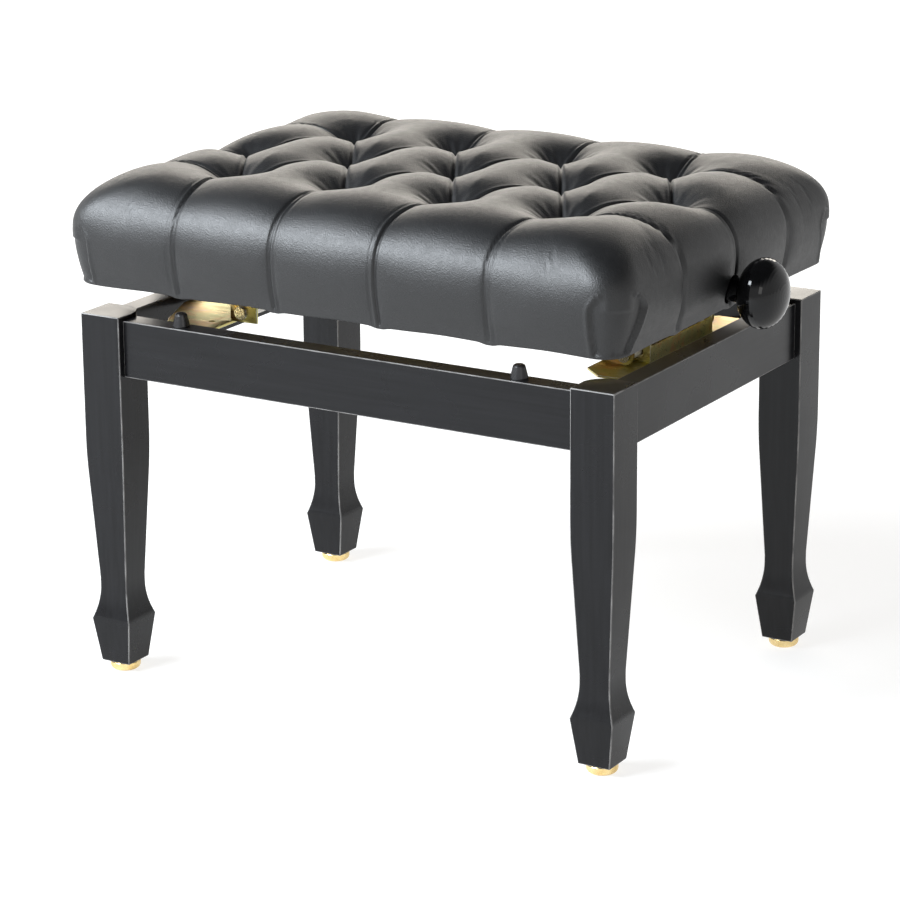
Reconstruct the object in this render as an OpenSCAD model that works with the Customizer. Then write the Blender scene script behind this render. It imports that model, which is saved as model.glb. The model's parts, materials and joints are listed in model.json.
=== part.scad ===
// Height-adjustable piano bench: a wooden frame on four spade-foot legs, a tufted
// leather seat, and a crossed-arm lift driven by a screw with a knob at each end.
// Origin: centre of the footprint on the floor. +X right, +Y back, +Z up. Millimetres.

/* [Frame] */
// Width over the legs
frame_w = 560; // [500:1:640]
// Depth over the legs
frame_d = 412; // [370:1:450]
// Height of the leg tops above the floor
frame_h = 352; // [330:1:380]
// Height of the four rails
rail_h = 54; // [46:1:70]
// Thickness of the four rails
rail_t = 21; // [18:0.5:24]
// Distance that the rails stand back from the legs' outer faces
rail_setback = 6.5; // [4:0.5:10]
// Distance that the rails' top edges lie below the leg tops
rail_drop = 4; // [2:0.5:8]

/* [Legs] */
// Side of the square leg head
leg_w = 43; // [40:0.5:48]
// Side of the leg at the ankle, just above the spade foot
ankle_w = 30.4; // [26:0.2:36]
// Side of the spade foot at its widest
spade_w = 43; // [38:0.5:48]
// Side of the spade foot at its bottom
spade_bottom_w = 31.7; // [28:0.5:36]
// Radius of the leg head's inner corner
leg_corner_r = 22; // [12:1:26]
// Diameter of the brass glides
glide_d = 29; // [24:0.5:30]
// Height of the brass glides
glide_h = 9.5; // [6:0.5:12]

/* [Seat] */
// Gap between the leg tops and the seat's lower edge, at the stored height
seat_gap = 30; // [24:1:40]
// Height of the seat from its lower edge to its crest
seat_h = 105; // [95:1:115]
// Distance that the seat's lower edge stands out past the legs
seat_overhang = 4; // [2:0.5:8]
// Distance that the seat's sides swell out past its lower edge
seat_bulge = 8; // [5:0.5:12]
// Thickness of the leather and padding on the seat's sides
side_pad_t = 8; // [6:0.5:12]
// Distance between tuft buttons along the seat
tuft_pitch_x = 114; // [104:1:120]
// Distance between rows of tuft buttons across the seat
tuft_pitch_y = 101; // [92:1:106]
// Diameter of the tuft buttons
button_d = 17; // [12:0.5:22]

/* [Lift] */
// Distance of the left pivots from the seat's centre
pivot_x = 158; // [150:1:170]
// Distance of the right sliding pins from the seat's centre, at the stored height
slide_x = 222; // [214:1:224]
// Width of the flat arms
arm_w = 17; // [15:0.5:18]
// Thickness of the flat arms
arm_t = 4; // [3:0.5:4]
// Diameter of the shafts that the arms turn on
shaft_d = 8; // [7:0.5:9]
// Diameter of the lead screw
screw_d = 12; // [10:0.5:12]
// Thickness of the pressed steel plates
plate_t = 2.5; // [2:0.25:3]
// Diameter of the knobs
knob_d = 64; // [50:1:66]

/* [Hidden] */
$fn = 64;

// Clearances
gap = 0.3;        // between parts that lie beside each other
fit = 0.05;       // radial, between a shaft and its hole
eps = 0.01;

// Frame
half_w = frame_w / 2;
half_d = frame_d / 2;
leg_x = half_w - leg_w / 2;
leg_y = half_d - leg_w / 2;
rail_top = frame_h - rail_drop;
rail_bottom = rail_top - rail_h;
rail_out_x = half_w - rail_setback;
rail_out_y = half_d - rail_setback;
rail_in_x = rail_out_x - rail_t;
rail_in_y = rail_out_y - rail_t;
leg_in_x = half_w - leg_w;
leg_in_y = half_d - leg_w;

// Legs, in heights above the floor
leg_len = frame_h - glide_h;
taper_top_z = frame_h - 0.33 * leg_len;
taper_ease = 46;
ankle_z = frame_h - 0.757 * leg_len;
flare_z = frame_h - 0.778 * leg_len;
spade_z = frame_h - 0.874 * leg_len;
taper_slope = (leg_w - ankle_w) / 2 / (taper_top_z - ankle_z - taper_ease / 2);

// Tenons and corner blocks
tenon_t = 10;
tenon_len = 14;
tenon_h = rail_h - 14;
block_side = 60;
block_h = 26;
block_z = rail_bottom + 1;
bolt_z = block_z + block_h / 2;
bolt_d = 8;
bolt_len = 78;
bolt_inset = 4;       // of the bolt's line from the leg's middle, along X and Y
bolt_start = 18;      // from there back to the bolt's outer end
washer_t = 1.6;
tenon_drop = 7;       // of the tenon's lower edge above the rail's
tenon_room = 0.1;     // on each side of a tenon, in its mortise

// Rubber stops
stop_x = 178;
stop_d = 16;
stop_h = 13;
stop_y = (rail_out_y + rail_in_y) / 2;

// Seat
seat_z = frame_h + seat_gap;
seat_top = seat_z + seat_h;
seat_half_w = half_w + seat_overhang;
seat_half_d = half_d + seat_overhang;
box_half_w = seat_half_w - side_pad_t;
box_half_d = seat_half_d - side_pad_t;
box_rail_t = 20;
board_t = 12;
board_z = seat_z + 36;
board_top = board_z + board_t;
foam_t = 14;
foam_top = board_top + gap + foam_t;
button_z = seat_top - 37;   // underside of the tuft buttons
button_t = 7;
hole_d = 6;
pocket_r = 36;        // of each tuft at the seat's crest
roll_start = 57;      // height of the side's widest line above its lower edge
roll_w = 70;          // width of the roll from the side to the crest
seat_corner_r = 22;

// Lift
pivot_z = frame_h - 4;
screw_z = seat_z + 17;
rest_rise = screw_z - pivot_z;
arm_span = slide_x + pivot_x;
arm_len = norm([arm_span, rest_rise]);
lowest_rise = rest_rise - (seat_z - rail_top - stop_h - gap);
highest_rise = rest_rise + 76;
slot_near = sqrt(pow(arm_len, 2) - pow(highest_rise, 2)) - pivot_x - 1;
slot_far = sqrt(pow(arm_len, 2) - pow(lowest_rise, 2)) - pivot_x + 1;
shaft_r = shaft_d / 2;
lift_arm_y = 70;      // inner face of each lift arm
cross_arm_y = lift_arm_y + arm_t + 2;
base_ear_y = 120;
slide_ear_y = 60;
seat_ear_y = cross_arm_y + arm_t + 3;
bush_d = 12;
ear_h = 20;
plate_z = frame_h - 13;   // top face of both base plates
tab_h = 16;
left_tab = [-206, -168];  // ends of the left plate's tab along its rail
side_tab = [82, 118];     // ends of each of the right plate's tabs along its rail
right_plate_x = 196;      // inner edge of the right plate
left_plate_x = -249;      // outer edge of the left plate
rivet_r = shaft_r + 1.8;
mid_x = (slide_x - pivot_x) / 2;
mid_z = (pivot_z + screw_z) / 2;
left_bracket = [-190, -130];   // ends of the left seat bracket along X
right_bracket = [188, 240];    // ends of the right seat bracket along X
ear_drop = board_z - screw_z + 11;

// Lead screw and knobs
screw_end = seat_half_w + 26;
knob_x = half_w + 38;     // middle of the knob's ball
knob_half_t = 22;
knob_neck_r = 11;
knob_hole_r = 13.5;       // in the leather, around the knob's neck

// Screws
wood_screw_d = 4;
wood_screw_len = 16;
block_screw_len = 30;
board_screw_len = 30;
bracket_screw_len = 12;

// ---------------------------------------------------------------- helpers

// Places its children at one of the four corners; sx and sy are -1 or 1.
module at_corner(sx, sy) {
    flip_x = sx < 0 ? [1, 0, 0] : [0, 0, 0];
    flip_y = sy < 0 ? [0, 1, 0] : [0, 0, 0];
    mirror(flip_x) mirror(flip_y) children();
}

// Places its children at the front and at the back, facing the middle.
module front_and_back() {
    children();
    mirror([0, 1, 0]) children();
}

// A box from its two corners.
module box_between(low, high) {
    translate(low) cube(high - low);
}

// A round bar along Y from y0 to y1, at height z above x.
module bar_y(x, z, r, y0, y1) {
    translate([x, y0, z]) rotate([-90, 0, 0]) cylinder(r = r, h = y1 - y0);
}

// A round bar along X from x0 to x1, on the lead screw's line.
module bar_x(r, x0, x1) {
    translate([x0, 0, screw_z]) rotate([0, 90, 0]) cylinder(r = r, h = x1 - x0);
}

// A countersunk wood screw that points along -Z, its head's top face at z = 0.
module wood_screw(len = wood_screw_len) {
    difference() {
        rotate_extrude() polygon([
            [0, 0], [wood_screw_d, 0], [wood_screw_d / 2, -wood_screw_d / 2],
            [wood_screw_d / 2, 3 - len], [0, -len]
        ]);
        for (turn = [0, 90]) rotate(turn)
            translate([-2, -0.4, -1]) cube([4, 0.8, 1 + eps]);
    }
}

// The hole that a wood screw sits in, with an access bore above its head.
module wood_screw_hole(len = wood_screw_len, access = 1) {
    rotate_extrude() polygon([
        [0, access], [wood_screw_d + 0.1, access], [wood_screw_d + 0.1, 0],
        [wood_screw_d / 2 + 0.1, -wood_screw_d / 2], [wood_screw_d / 2 + 0.1, 3 - len], [0, -len - 0.3]
    ]);
}

// ---------------------------------------------------------------- legs

// Half the leg's side at height z.
function leg_half(z) =
    z >= taper_top_z ? leg_w / 2 :
    z >= taper_top_z - taper_ease ?
        leg_w / 2 - taper_slope * pow(taper_top_z - z, 2) / (2 * taper_ease) :
    z >= ankle_z ? ankle_w / 2 + taper_slope * (z - ankle_z) :
    z >= flare_z ? ankle_w / 2 :
    z >= spade_z ? ankle_w / 2 + (spade_w - ankle_w) / 2 * pow((flare_z - z) / (flare_z - spade_z), 2) :
    spade_bottom_w / 2 + (spade_w - spade_bottom_w) / 2 * (z - glide_h) / (spade_z - glide_h);

leg_heights = concat(
    [frame_h],
    [for (i = [0:6]) taper_top_z - taper_ease * i / 6],
    [ankle_z],
    [for (i = [0:8]) flare_z - (flare_z - spade_z) * i / 8],
    [glide_h]
);

module leg_outline() {
    polygon(concat(
        [for (z = leg_heights) [leg_half(z), z]],
        [for (i = [len(leg_heights) - 1:-1:0]) [-leg_half(leg_heights[i]), leg_heights[i]]]
    ));
}

// The mortises that a leg's two rails plug into.
module mortises() {
    rail_mid_x = rail_out_x - rail_t / 2;
    rail_mid_y = rail_out_y - rail_t / 2;
    half_t = tenon_t / 2 + tenon_room;
    low_z = rail_bottom + tenon_drop - tenon_room;
    high_z = low_z + tenon_h + 2 * tenon_room;
    depth = tenon_len + 0.5;
    box_between([leg_in_x - 1, rail_mid_y - half_t, low_z], [leg_in_x + depth, rail_mid_y + half_t, high_z]);
    box_between([rail_mid_x - half_t, leg_in_y - 1, low_z], [rail_mid_x + half_t, leg_in_y + depth, high_z]);
}

// One leg, drawn for the corner at +X +Y.
module leg() {
    difference() {
        intersection() {
            translate([leg_x, leg_y + leg_w, 0]) rotate([90, 0, 0])
                linear_extrude(2 * leg_w) leg_outline();
            translate([leg_x - leg_w, leg_y, 0]) rotate([90, 0, 90])
                linear_extrude(2 * leg_w) leg_outline();
        }
        // rounded inner corner of the head
        translate([leg_in_x, leg_in_y, rail_bottom]) difference() {
            translate([-1, -1, 0]) cube([leg_corner_r + 1, leg_corner_r + 1, frame_h]);
            translate([leg_corner_r, leg_corner_r, -1]) cylinder(r = leg_corner_r, h = frame_h + 2);
        }
        mortises();
        leg_bolt_place() cylinder(d = bolt_d + 0.2, h = leg_w + 20);
        translate([leg_x, leg_y, glide_h - 1]) cylinder(d = 3.4, h = 17);
    }
}

module leg_at(sx, sy) { color("#17171a") at_corner(sx, sy) leg(); }

module leg_front_left() { leg_at(-1, -1); }
module leg_front_right() { leg_at(1, -1); }
module leg_back_left() { leg_at(-1, 1); }
module leg_back_right() { leg_at(1, 1); }

// ---------------------------------------------------------------- rails

module rail_along_x() {
    difference() {
        union() {
            box_between([-leg_in_x, rail_in_y, rail_bottom], [leg_in_x, rail_out_y, rail_top]);
            translate([-leg_in_x - tenon_len, rail_in_y + (rail_t - tenon_t) / 2, rail_bottom + tenon_drop])
                cube([2 * (leg_in_x + tenon_len), tenon_t, tenon_h]);
        }
        corner_screw_places_x() wood_screw_hole(block_screw_len);
        mirror([1, 0, 0]) corner_screw_places_x() wood_screw_hole(block_screw_len);
        back_tab_screw_places() wood_screw_hole();
        stop_places() translate([0, 0, -12]) cylinder(d = 4.2, h = 13);
    }
}

module rail_along_y() {
    difference() {
        union() {
            box_between([rail_in_x, -leg_in_y, rail_bottom], [rail_out_x, leg_in_y, rail_top]);
            translate([rail_in_x + (rail_t - tenon_t) / 2, -leg_in_y - tenon_len, rail_bottom + tenon_drop])
                cube([tenon_t, 2 * (leg_in_y + tenon_len), tenon_h]);
        }
        corner_screw_places_y() wood_screw_hole(block_screw_len);
        mirror([0, 1, 0]) corner_screw_places_y() wood_screw_hole(block_screw_len);
    }
}

module rail_front() { color("#17171a") mirror([0, 1, 0]) rail_along_x(); }
module rail_back() { color("#17171a") rail_along_x(); }
module rail_left() { color("#17171a") mirror([1, 0, 0]) rail_along_y(); }
module rail_right() {
    color("#17171a") difference() {
        rail_along_y();
        front_and_back() side_tab_screw_places() wood_screw_hole();
    }
}

// ---------------------------------------------------------------- corner blocks

// All of these are drawn for the corner at +X +Y.
module leg_bolt_place() {
    translate([leg_x - bolt_inset, leg_y - bolt_inset, bolt_z])
        rotate([90, 0, -45]) translate([0, 0, -bolt_start]) children();
}

// Screws from a corner block into the back rail, and into the right rail.
module corner_screw_places_x() {
    translate([rail_in_x - 40, rail_in_y - 14, bolt_z]) rotate([90, 0, 0]) children();
}

module corner_screw_places_y() {
    translate([rail_in_x - 14, rail_in_y - 40, bolt_z]) rotate([0, -90, 0]) children();
}

module corner_block() {
    head = leg_w - rail_setback - rail_t + gap;
    difference() {
        translate([rail_in_x, rail_in_y, block_z]) linear_extrude(block_h) polygon([
            [-head, 0], [-block_side, 0], [0, -block_side], [0, -head], [-head, -head]
        ]);
        leg_bolt_place() cylinder(d = bolt_d + 0.6, h = 80);
        corner_screw_places_x() wood_screw_hole(block_screw_len, 30);
        corner_screw_places_y() wood_screw_hole(block_screw_len, 30);
    }
}

module corner_block_at(sx, sy) { color("#c9a877") at_corner(sx, sy) corner_block(); }

module corner_block_front_left() { corner_block_at(-1, -1); }
module corner_block_front_right() { corner_block_at(1, -1); }
module corner_block_back_left() { corner_block_at(-1, 1); }
module corner_block_back_right() { corner_block_at(1, 1); }

module at_every_corner() {
    for (sx = [-1, 1], sy = [-1, 1]) at_corner(sx, sy) children();
}

module corner_block_screws() {
    color("#b9b083") at_every_corner() {
        corner_screw_places_x() wood_screw(block_screw_len);
        corner_screw_places_y() wood_screw(block_screw_len);
    }
}

// The corner block's slanted face, measured along the bolt from its outer end.
function bolt_face() = bolt_start + norm([1, 1]) * (leg_x - bolt_inset - (rail_in_x - block_side / 2));

module leg_bolts() {
    color("#b9b083") at_every_corner() leg_bolt_place() cylinder(d = bolt_d, h = bolt_len);
}

module leg_bolt_washers() {
    color("#b9b083") at_every_corner() leg_bolt_place() translate([0, 0, bolt_face()])
        difference() {
            cylinder(d = 20, h = washer_t);
            translate([0, 0, -1]) cylinder(d = bolt_d + 0.4, h = 4);
        }
}

module leg_bolt_nuts() {
    color("#b9b083") at_every_corner() leg_bolt_place() translate([0, 0, bolt_face() + washer_t])
        difference() {
            cylinder(d = 15, h = 6.5, $fn = 6);
            translate([0, 0, -1]) cylinder(d = bolt_d + 0.2, h = 9);
        }
}

// ---------------------------------------------------------------- glides and stops

module glide() {
    r = glide_d / 2;
    translate([leg_x, leg_y, 0]) {
        rotate_extrude() polygon(concat(
            [[0, 0], [r - 5, 0]],
            [for (a = [-75:15:0]) [r - 5 + 5 * cos(a), 5 + 5 * sin(a)]],
            [[r, glide_h - 1.5], [r - 1, glide_h], [0, glide_h]]
        ));
        translate([0, 0, glide_h - eps]) cylinder(r1 = 1.6, r2 = 0.6, h = 15);
    }
}

module glide_at(sx, sy) { color("#dcb763") at_corner(sx, sy) glide(); }

module glide_front_left() { glide_at(-1, -1); }
module glide_front_right() { glide_at(1, -1); }
module glide_back_left() { glide_at(-1, 1); }
module glide_back_right() { glide_at(1, 1); }

module stop_places() {
    for (sx = [-1, 1]) translate([sx * stop_x, stop_y, rail_top]) children();
}

module rubber_stop() {
    base_r = stop_d / 2;
    tip_r = base_r - 2.2;
    rotate_extrude() polygon(concat(
        [[0, 0], [base_r, 0], [base_r, 1.5]],
        [for (a = [10:20:90]) [tip_r - 3 + 3 * cos(a), stop_h - 3 + 3 * sin(a)]],
        [[0, stop_h]]
    ));
    translate([0, 0, -11]) cylinder(d = 4, h = 11 + eps);
}

module stop_at(sx, sy) {
    color("#101012") at_corner(1, sy) translate([sx * stop_x, stop_y, rail_top]) rubber_stop();
}

module stop_front_left() { stop_at(-1, -1); }
module stop_front_right() { stop_at(1, -1); }
module stop_back_left() { stop_at(-1, 1); }
module stop_back_right() { stop_at(1, 1); }

// ---------------------------------------------------------------- base plates

// Screws through the left plate's tab into the back rail.
module back_tab_screw_places() {
    for (x = [left_tab[0] + 9, left_tab[1] - 9])
        translate([x, rail_in_y - plate_t, plate_z - 9]) rotate([90, 0, 0]) children();
}

// Screws through the right plate's back tab into the right rail.
module side_tab_screw_places() {
    for (y = [side_tab[0] + 9, side_tab[1] - 9])
        translate([rail_in_x - plate_t, y, plate_z - 9]) rotate([0, -90, 0]) children();
}

// A plate from the back half of its outline; the front half mirrors it.
module plate_from(outline) {
    last = len(outline) - 1;
    front = [for (i = [last:-1:0]) [outline[i][0], -outline[i][1]]];
    translate([0, 0, plate_z - plate_t]) linear_extrude(plate_t) polygon(concat(outline, front));
}

// The left plate: a web across the bench, with an ear at each end for the base shaft.
module base_plate_left() {
    ear_top = plate_z + ear_h;
    ear_end = base_ear_y + plate_t / 2;
    web_x = left_tab[1];
    color("#c3b25d") difference() {
        union() {
            plate_from([[web_x, rail_in_y], [left_tab[0], rail_in_y],
                        [left_plate_x + 23, 143], [left_plate_x, 86]]);
            box_between([web_x - plate_t, -ear_end, plate_z - plate_t], [web_x, ear_end, ear_top]);
            front_and_back() {
                box_between([left_tab[0], rail_in_y - plate_t, plate_z - tab_h],
                            [left_tab[1], rail_in_y, plate_z]);
                box_between([web_x - plate_t, ear_end - plate_t, plate_z], [web_x + 27, ear_end, ear_top]);
            }
        }
        front_and_back() {
            back_tab_screw_places() wood_screw_hole();
            bar_y(-pivot_x, pivot_z, shaft_r + fit, base_ear_y - 3, base_ear_y + 3);
            translate([-184, 132, plate_z - 5]) cylinder(d = 6.5, h = 10);
        }
        translate([-205, 0, plate_z - 5]) cylinder(d = 30, h = 10);
    }
}

// A slot along X for a pin that slides between slot_near and slot_far.
module slot_y(z, r, y0, y1) {
    bar_y(slot_near, z, r, y0, y1);
    bar_y(slot_far, z, r, y0, y1);
    box_between([slot_near, y0, z - r], [slot_far, y1, z + r]);
}

// The right plate: its tabs fold down against the right rail, and its two ears are
// slotted, for the slide shaft's bushes.
module base_plate_right() {
    ear_end = slide_ear_y + plate_t / 2;
    web_x = slot_far + bush_d / 2 + 7;
    color("#c3b25d") difference() {
        union() {
            plate_from([
                [right_plate_x, side_tab[1] - 18], [right_plate_x + 20, side_tab[1]],
                [rail_in_x, side_tab[1]], [rail_in_x, side_tab[0]], [web_x, 66]
            ]);
            box_between([web_x - plate_t, -ear_end, plate_z - plate_t],
                        [web_x, ear_end, plate_z + ear_h - 6]);
            front_and_back() {
                box_between([rail_in_x - plate_t, side_tab[0], plate_z - tab_h],
                            [rail_in_x, side_tab[1], plate_z]);
                box_between([slot_near - 14, ear_end - plate_t, plate_z - plate_t],
                            [web_x, ear_end, plate_z + ear_h]);
            }
        }
        front_and_back() {
            side_tab_screw_places() wood_screw_hole();
            slot_y(pivot_z, bush_d / 2 + fit, slide_ear_y - 3, slide_ear_y + 3);
        }
        translate([right_plate_x + 18, 0, plate_z - 5]) cylinder(d = 16, h = 10);
    }
}

module base_plate_screws() {
    color("#b9b083") front_and_back() {
        back_tab_screw_places() wood_screw();
        side_tab_screw_places() wood_screw();
    }
}

// ---------------------------------------------------------------- shafts

// A turned shaft: thick as far as y_thick each way, thin to y_end, with riveted heads.
module turned_shaft(x, z, thick_r, y_thick, y_end) {
    bar_y(x, z, thick_r, -y_thick, y_thick);
    bar_y(x, z, shaft_r, -y_end, y_end);
    for (y = [-y_end, y_end]) bar_y(x, z, rivet_r, y - 1, y + 1);
}

// A sleeve or bush on a shaft, at the back; front_and_back() gives the other.
module sleeve(x, z, r, y0, y1) {
    difference() {
        bar_y(x, z, r, y0, y1);
        bar_y(x, z, shaft_r + fit, y0 - 1, y1 + 1);
    }
}

module base_shaft() {
    color("#b9b083") turned_shaft(-pivot_x, pivot_z, shaft_r + 2, lift_arm_y - gap,
                                  base_ear_y + plate_t / 2 + 2.4);
}

// Spacer tubes between the arms and the ears, and the washers outside the ears.
module base_shaft_sleeves() {
    color("#c9c6b8") front_and_back() {
        sleeve(-pivot_x, pivot_z, shaft_r + 2, lift_arm_y + arm_t + gap,
               base_ear_y - plate_t / 2 - gap);
        sleeve(-pivot_x, pivot_z, shaft_r + 2.6, base_ear_y + plate_t / 2 + 0.1,
               base_ear_y + plate_t / 2 + 1.3);
    }
}

module middle_shaft() {
    color("#b9b083") turned_shaft(mid_x, mid_z, shaft_r + 2, lift_arm_y - gap,
                                  cross_arm_y + arm_t + 1.4);
}

module middle_shaft_washers() {
    color("#c9c6b8") front_and_back()
        sleeve(mid_x, mid_z, shaft_r + 4, lift_arm_y + arm_t + 0.2, cross_arm_y - 0.2);
}

module slide_shaft() {
    color("#b9b083") turned_shaft(slide_x, pivot_z, shaft_r + 2, slide_ear_y - 3,
                                  cross_arm_y + arm_t + 1.4);
}

module slide_shaft_bushes() {
    color("#e4e0d2") front_and_back()
        sleeve(slide_x, pivot_z, bush_d / 2, slide_ear_y - 2.7, cross_arm_y - gap);
}

// The bar that the lead screw pulls along; the lift arms' upper ends turn on it.
module nut_bar() {
    color("#b9b083") difference() {
        turned_shaft(slide_x, screw_z, shaft_r + 5, lift_arm_y - gap, seat_ear_y + 3);
        bar_x(screw_d / 2 + fit, slide_x - 20, slide_x + 20);
    }
}

module nut_bar_bushes() {
    color("#e4e0d2") front_and_back()
        sleeve(slide_x, screw_z, bush_d / 2, lift_arm_y + arm_t + gap, seat_ear_y + 1.7);
}

// The bar at the seat's left, which the cross arms' upper ends turn on.
module pivot_bar() {
    color("#b9b083") difference() {
        turned_shaft(-pivot_x, screw_z, shaft_r + 5, cross_arm_y - gap, seat_ear_y + 2.6);
        bar_x(screw_d / 2 + 0.5, -pivot_x - 20, -pivot_x + 20);
    }
}

// ---------------------------------------------------------------- arms

// A flat arm from (x0, z0) to (x1, z1) with round ends and a hole at each end and the middle.
module arm(x0, z0, x1, z1, y) {
    tilt = atan2(z1 - z0, x1 - x0);
    difference() {
        translate([x0, y, z0]) rotate([0, -tilt, 0]) {
            translate([0, 0, -arm_w / 2]) cube([arm_len, arm_t, arm_w]);
            for (x = [0, arm_len]) translate([x, 0, 0])
                rotate([-90, 0, 0]) cylinder(d = arm_w, h = arm_t);
        }
        for (end = [[x0, z0], [x1, z1], [mid_x, mid_z]])
            bar_y(end[0], end[1], shaft_r + fit, y - 1, y + arm_t + 1);
    }
}

module lift_arm() {
    color("#c3b25d") arm(-pivot_x, pivot_z, slide_x, screw_z, lift_arm_y);
}

module cross_arm() {
    color("#c3b25d") arm(slide_x, pivot_z, -pivot_x, screw_z, cross_arm_y);
}

module lift_arm_front() { mirror([0, 1, 0]) lift_arm(); }
module lift_arm_back() { lift_arm(); }
module cross_arm_front() { mirror([0, 1, 0]) cross_arm(); }
module cross_arm_back() { cross_arm(); }

// ---------------------------------------------------------------- seat box

// Places of the tuft buttons: rows of 4, 5 and 4.
tuft_places = concat(
    [for (row = [-1, 1], i = [-1.5:1.5]) [i * tuft_pitch_x, row * tuft_pitch_y]],
    [for (i = [-2:2]) [i * tuft_pitch_x, 0]]
);

module tufts() {
    for (p = tuft_places) translate([p[0], p[1], 0]) children();
}

module board_screw_places() {
    side_x = box_half_w - box_rail_t / 2;
    side_y = box_half_d - box_rail_t / 2;
    for (sx = [-1, 1], sy = [-1, 1]) {
        translate([sx * side_x, sy * 80, board_top]) children();
        for (x = [30, 110, 230]) translate([sx * x, sy * side_y, board_top]) children();
    }
}

module bracket_screw_places() {
    for (ends = [left_bracket, right_bracket], x = [ends[0] + 7, ends[1] - 7], sy = [-1, 1])
        translate([x, sy * 60, board_z - plate_t]) rotate([180, 0, 0]) children();
}

module seat_board() {
    color("#c9a877") difference() {
        box_between([-box_half_w, -box_half_d, board_z], [box_half_w, box_half_d, board_top]);
        tufts() translate([0, 0, board_z - 1]) cylinder(d = hole_d, h = board_t + 2);
        board_screw_places() wood_screw_hole(board_screw_len);
        bracket_screw_places() wood_screw_hole(bracket_screw_len);
    }
}

module seat_rail_long() {
    color("#c9a877") difference() {
        box_between([-box_half_w, box_half_d - box_rail_t, seat_z + gap],
                    [box_half_w, box_half_d, board_z]);
        board_screw_places() wood_screw_hole(board_screw_len);
    }
}

module seat_rail_short() {
    color("#c9a877") difference() {
        box_between([box_half_w - box_rail_t, box_rail_t - box_half_d, seat_z + gap],
                    [box_half_w, box_half_d - box_rail_t, board_z]);
        board_screw_places() wood_screw_hole(board_screw_len);
        bar_x(screw_d / 2 + 3, 0, half_w + 50);
    }
}

module seat_rail_front() { mirror([0, 1, 0]) seat_rail_long(); }
module seat_rail_back() { seat_rail_long(); }
module seat_rail_left() { mirror([1, 0, 0]) seat_rail_short(); }
module seat_rail_right() { seat_rail_short(); }

module seat_board_screws() {
    color("#b9b083") board_screw_places() wood_screw(board_screw_len);
}

// ---------------------------------------------------------------- seat brackets

module seat_bracket_left() {
    color("#c3b25d") front_and_back() difference() {
        union() {
            box_between([left_bracket[0], -eps, board_z - plate_t],
                        [left_bracket[1], seat_ear_y + plate_t / 2, board_z]);
            box_between([-pivot_x - 14, seat_ear_y - plate_t / 2, board_z - ear_drop],
                        [-pivot_x + 14, seat_ear_y + plate_t / 2, board_z]);
        }
        bracket_screw_places() wood_screw_hole(bracket_screw_len);
        bar_y(-pivot_x, screw_z, shaft_r + fit, seat_ear_y - 3, seat_ear_y + 3);
    }
}

module seat_bracket_right() {
    color("#c3b25d") front_and_back() difference() {
        union() {
            box_between([right_bracket[0], -eps, board_z - plate_t],
                        [right_bracket[1], seat_ear_y + plate_t / 2, board_z]);
            box_between([right_bracket[0], seat_ear_y - plate_t / 2, board_z - ear_drop],
                        [right_bracket[1], seat_ear_y + plate_t / 2, board_z]);
        }
        bracket_screw_places() wood_screw_hole(bracket_screw_len);
        slot_y(screw_z, bush_d / 2 + fit, seat_ear_y - 3, seat_ear_y + 3);
        box_between([right_bracket[0] + 14, -1, board_z - 2 * plate_t],
                    [right_bracket[1] - 3, 44, board_z + 1]);
    }
}

module seat_bracket_screws() {
    color("#b9b083") bracket_screw_places() wood_screw(bracket_screw_len);
}

// ---------------------------------------------------------------- screw and knobs

module screw_bush() {
    inner_x = box_half_w - box_rail_t;
    color("#d9c27a") difference() {
        union() {
            bar_x(screw_d / 2 + 2.95, inner_x, box_half_w);
            bar_x(screw_d / 2 + 7, inner_x - 2, inner_x);
        }
        bar_x(screw_d / 2 + fit, inner_x - 5, box_half_w + 5);
    }
}

module screw_bush_left() { mirror([1, 0, 0]) screw_bush(); }
module screw_bush_right() { screw_bush(); }

module lead_screw() {
    color("#b9b083") bar_x(screw_d / 2, -screw_end, screw_end);
}

module thrust_collars() {
    inner_x = box_half_w - box_rail_t - 2 - gap;
    color("#b9b083") for (side = [0, 1]) mirror([side, 0, 0]) difference() {
        bar_x(screw_d / 2 + 5, inner_x - 8, inner_x);
        bar_x(screw_d / 2 + fit, inner_x - 10, inner_x + 2);
    }
}

module knob() {
    r = knob_d / 2;
    neck_x = box_half_w + gap - knob_x;
    neck_turn = asin(knob_neck_r / r);
    color("#0d0d0f") difference() {
        translate([knob_x, 0, screw_z]) rotate([0, 90, 0]) rotate_extrude() polygon(concat(
            [[0, neck_x], [knob_neck_r + 2, neck_x], [knob_neck_r, neck_x + 5]],
            [for (i = [0:24])
                let (a = -90 + neck_turn + (180 - neck_turn) * i / 24)
                [r * cos(a), knob_half_t * sin(a)]]
        ));
        bar_x(screw_d / 2 + fit, 0, screw_end + 1);
    }
}

module knob_left() { mirror([1, 0, 0]) knob(); }
module knob_right() { knob(); }

// ---------------------------------------------------------------- padding

module rounded_rect(w, d, r) {
    square([w - 2 * r, d], center = true);
    square([w, d - 2 * r], center = true);
    for (sx = [-1, 1], sy = [-1, 1])
        translate([sx * (w / 2 - r), sy * (d / 2 - r)]) circle(r);
}

// The seat's side seen end on: upright at the bottom, swelling, then rolling over the top.
function side_outline(half) = concat(
    [for (i = [0:6]) [half + seat_bulge * sin(15 * i), seat_z + roll_start * i / 6]],
    [for (i = [1:9]) [
        half + seat_bulge - roll_w * (1 - cos(10 * i)),
        seat_z + roll_start + (seat_h - roll_start) * sin(10 * i)]]
);

module side_profile(half) {
    right = side_outline(half);
    polygon(concat(right, [for (i = [len(right) - 1:-1:0]) [-right[i][0], right[i][1]]]));
}

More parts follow.
